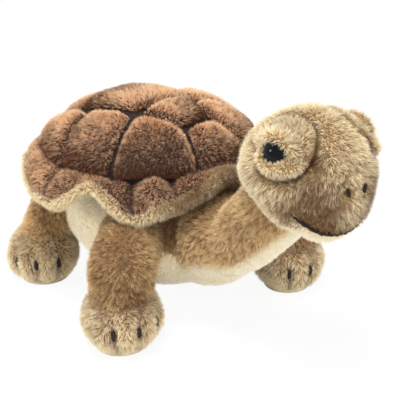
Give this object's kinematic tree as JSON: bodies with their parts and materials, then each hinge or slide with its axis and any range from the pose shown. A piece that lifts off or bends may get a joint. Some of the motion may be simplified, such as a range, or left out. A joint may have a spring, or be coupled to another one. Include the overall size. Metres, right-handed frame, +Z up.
{
  "type": "plush turtle",
  "caption": "Stuffed plush tortoise standing on four legs, with a quilted brown shell, a wavy two-colour rim, a raised round head and glossy black eyes.",
  "frame": {"origin": "on the floor under the middle of the toy's bounding box", "axes": "+Z up, the head points towards -Y and the tail towards +Y, +X is the toy's left"},
  "size_m": [0.2118, 0.3286, 0.1899],
  "materials": {
    "brown_plush": "deep pile plush",
    "dark_fabric": "short nap",
    "tan_plush": "medium pile plush",
    "head_plush": "medium pile plush",
    "cream_plush": "short pile plush",
    "dark_thread": "stitched thread",
    "fibre_filling": "loose polyester fibre",
    "black_plastic": "glossy",
    "white_plastic": "matte"
  },
  "bodies": {
    "torso": {"body_cover": "tan_plush", "belly_panel": "cream_plush", "body_filling": "fibre_filling", "shell_cushion": "dark_fabric", "shell_rim": "brown_plush", "shell_rim_lining": "tan_plush", "scute_vertebral_1": "brown_plush", "scute_vertebral_2": "brown_plush", "scute_vertebral_3": "brown_plush", "scute_vertebral_4": "brown_plush", "scute_costal_1_left": "brown_plush", "scute_costal_1_right": "brown_plush", "scute_costal_2_left": "brown_plush", "scute_costal_2_right": "brown_plush", "scute_costal_3_left": "brown_plush", "scute_costal_3_right": "brown_plush", "scute_costal_4_left": "brown_plush", "scute_costal_4_right": "brown_plush"},
    "neck": {"neck": "tan_plush", "throat_panel": "cream_plush"},
    "head": {"head_cover": "head_plush", "jaw_panel": "cream_plush", "head_filling": "fibre_filling", "mouth_thread": "dark_thread", "nostril_left": "dark_thread", "nostril_right": "dark_thread", "eye_left": "black_plastic", "eye_washer_left": "white_plastic", "brow_left": "head_plush", "lower_lid_left": "head_plush", "eye_right": "black_plastic", "eye_washer_right": "white_plastic", "brow_right": "head_plush", "lower_lid_right": "head_plush"},
    "leg_front_left": {"leg_front_left": "tan_plush", "foot_front_left": "tan_plush", "sole_front_left": "cream_plush", "claw_front_left_1": "dark_thread", "claw_front_left_2": "dark_thread", "claw_front_left_3": "dark_thread"},
    "leg_front_right": {"leg_front_right": "tan_plush", "foot_front_right": "tan_plush", "sole_front_right": "cream_plush", "claw_front_right_1": "dark_thread", "claw_front_right_2": "dark_thread", "claw_front_right_3": "dark_thread"},
    "leg_hind_left": {"leg_hind_left": "tan_plush", "foot_hind_left": "tan_plush", "sole_hind_left": "cream_plush", "claw_hind_left_1": "dark_thread", "claw_hind_left_2": "dark_thread", "claw_hind_left_3": "dark_thread"},
    "leg_hind_right": {"leg_hind_right": "tan_plush", "foot_hind_right": "tan_plush", "sole_hind_right": "cream_plush", "claw_hind_right_1": "dark_thread", "claw_hind_right_2": "dark_thread", "claw_hind_right_3": "dark_thread"},
    "tail": {"tail": "tan_plush"}
  },
  "joints": [
    {"name": "neck_bend", "type": "hinge", "parent": "torso", "child": "neck", "pos_m": [0, -0.0332, 0.066], "axis": [1, 0, 0], "range_deg": [-4, 12], "stiffness_Nm_per_rad": 2},
    {"name": "head_turn", "type": "hinge", "parent": "neck", "child": "head", "pos_m": [0, -0.12019, 0.143], "axis": [0, 0, 1], "range_deg": [-20, 20], "stiffness_Nm_per_rad": 0.8},
    {"name": "leg_front_left_swing", "type": "hinge", "parent": "torso", "child": "leg_front_left", "pos_m": [0.0748, -0.02148, 0.062], "axis": [1, 0, 0], "range_deg": [-12, 12], "stiffness_Nm_per_rad": 1},
    {"name": "leg_front_right_swing", "type": "hinge", "parent": "torso", "child": "leg_front_right", "pos_m": [-0.0748, -0.02148, 0.062], "axis": [1, 0, 0], "range_deg": [-12, 12], "stiffness_Nm_per_rad": 1},
    {"name": "leg_hind_left_swing", "type": "hinge", "parent": "torso", "child": "leg_hind_left", "pos_m": [0.0748, 0.10453, 0.062], "axis": [1, 0, 0], "range_deg": [-12, 12], "stiffness_Nm_per_rad": 1},
    {"name": "leg_hind_right_swing", "type": "hinge", "parent": "torso", "child": "leg_hind_right", "pos_m": [-0.0748, 0.10453, 0.062], "axis": [1, 0, 0], "range_deg": [-12, 12], "stiffness_Nm_per_rad": 1},
    {"name": "tail_wag", "type": "hinge", "parent": "torso", "child": "tail", "pos_m": [0, 0.12652, 0.064], "axis": [0, 0, 1], "range_deg": [-15, 15], "stiffness_Nm_per_rad": 0.1}
  ]
}
